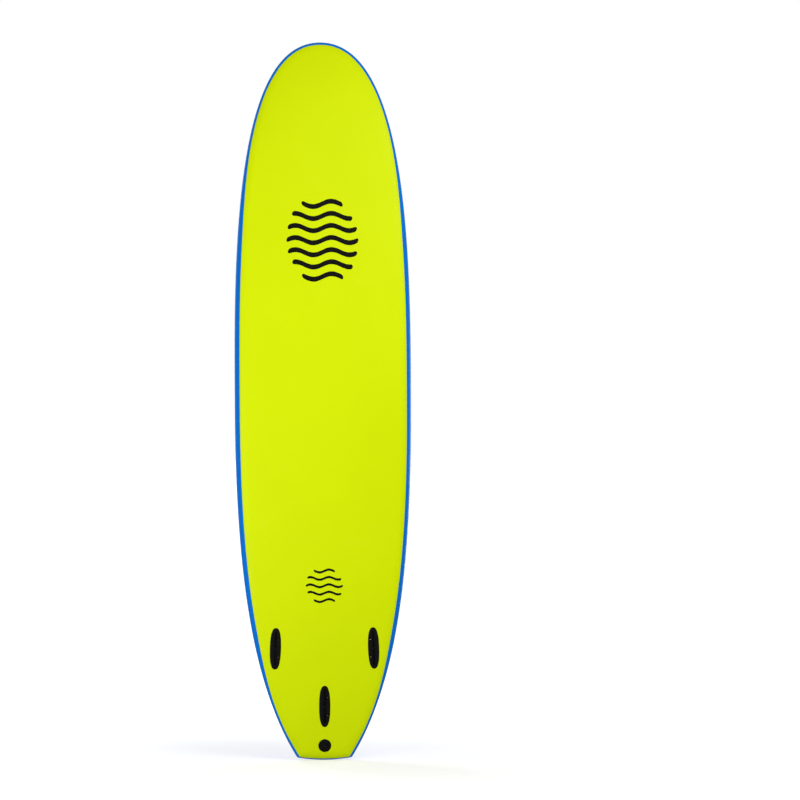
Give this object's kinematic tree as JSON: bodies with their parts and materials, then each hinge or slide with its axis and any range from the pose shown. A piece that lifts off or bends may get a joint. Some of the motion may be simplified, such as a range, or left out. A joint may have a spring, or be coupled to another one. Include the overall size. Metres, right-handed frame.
{
  "type": "surfboard",
  "caption": "Soft-top surfboard with a round nose and a squared tail, a foam deck, a slick bottom, fin boxes for a thruster set and a leash plug.",
  "frame": {"origin": "the middle of the tail's rounded edge, which the board stands on when it is stored upright", "axes": "+Z along the board from the tail to the nose, X across it, +Y out of the deck, so the riding bottom with its fin boxes faces -Y"},
  "size_m": [0.5972, 0.1375, 2.438],
  "materials": {
    "deck_foam": "matte",
    "slick": "satin",
    "laminate": "gloss",
    "core_foam": "matte",
    "plywood": "satin",
    "dense_foam": "matte",
    "black_nylon": "satin",
    "stainless": "satin",
    "coated_steel": "satin",
    "brass": "satin",
    "seal_rubber": "matte"
  },
  "bodies": {
    "board": {"deck_skin": "deck_foam", "deck_skin_tail": "deck_foam", "bottom_slick": "slick", "deck_laminate": "laminate", "bottom_laminate": "laminate", "core_left": "core_foam", "core_centre": "core_foam", "core_right": "core_foam", "stringer_left": "plywood", "stringer_right": "plywood", "fin_block_left": "dense_foam", "fin_block_centre": "dense_foam", "fin_block_right": "dense_foam", "fin_box_left": "black_nylon", "fin_box_centre": "black_nylon", "fin_box_right": "black_nylon", "leash_cup": "black_nylon", "leash_bar": "coated_steel", "leash_bush": "brass", "leash_backing": "black_nylon", "leash_seal_deck": "seal_rubber", "leash_seal_bottom": "seal_rubber"},
    "fin_screw_left_front": {"fin_screw_left_front": "stainless"},
    "fin_screw_left_rear": {"fin_screw_left_rear": "stainless"},
    "fin_screw_centre_front": {"fin_screw_centre_front": "stainless"},
    "fin_screw_centre_rear": {"fin_screw_centre_rear": "stainless"},
    "fin_screw_right_front": {"fin_screw_right_front": "stainless"},
    "fin_screw_right_rear": {"fin_screw_right_rear": "stainless"}
  },
  "joints": [
    {"name": "fin_screw_left_front_travel", "type": "slide", "parent": "board", "child": "fin_screw_left_front", "axis": [-0.7067, 0.7049, 0.0608], "range_m": [0, 0.0035]},
    {"name": "fin_screw_left_rear_travel", "type": "slide", "parent": "board", "child": "fin_screw_left_rear", "axis": [-0.7067, 0.7049, 0.0608], "range_m": [0, 0.0035]},
    {"name": "fin_screw_centre_front_travel", "type": "slide", "parent": "board", "child": "fin_screw_centre_front", "axis": [-0.7071, 0.7055, 0.048], "range_m": [0, 0.0035]},
    {"name": "fin_screw_centre_rear_travel", "type": "slide", "parent": "board", "child": "fin_screw_centre_rear", "axis": [-0.7071, 0.7055, 0.048], "range_m": [0, 0.0035]},
    {"name": "fin_screw_right_front_travel", "type": "slide", "parent": "board", "child": "fin_screw_right_front", "axis": [0.7067, 0.7049, 0.0608], "range_m": [0, 0.0035]},
    {"name": "fin_screw_right_rear_travel", "type": "slide", "parent": "board", "child": "fin_screw_right_rear", "axis": [0.7067, 0.7049, 0.0608], "range_m": [0, 0.0035]}
  ]
}
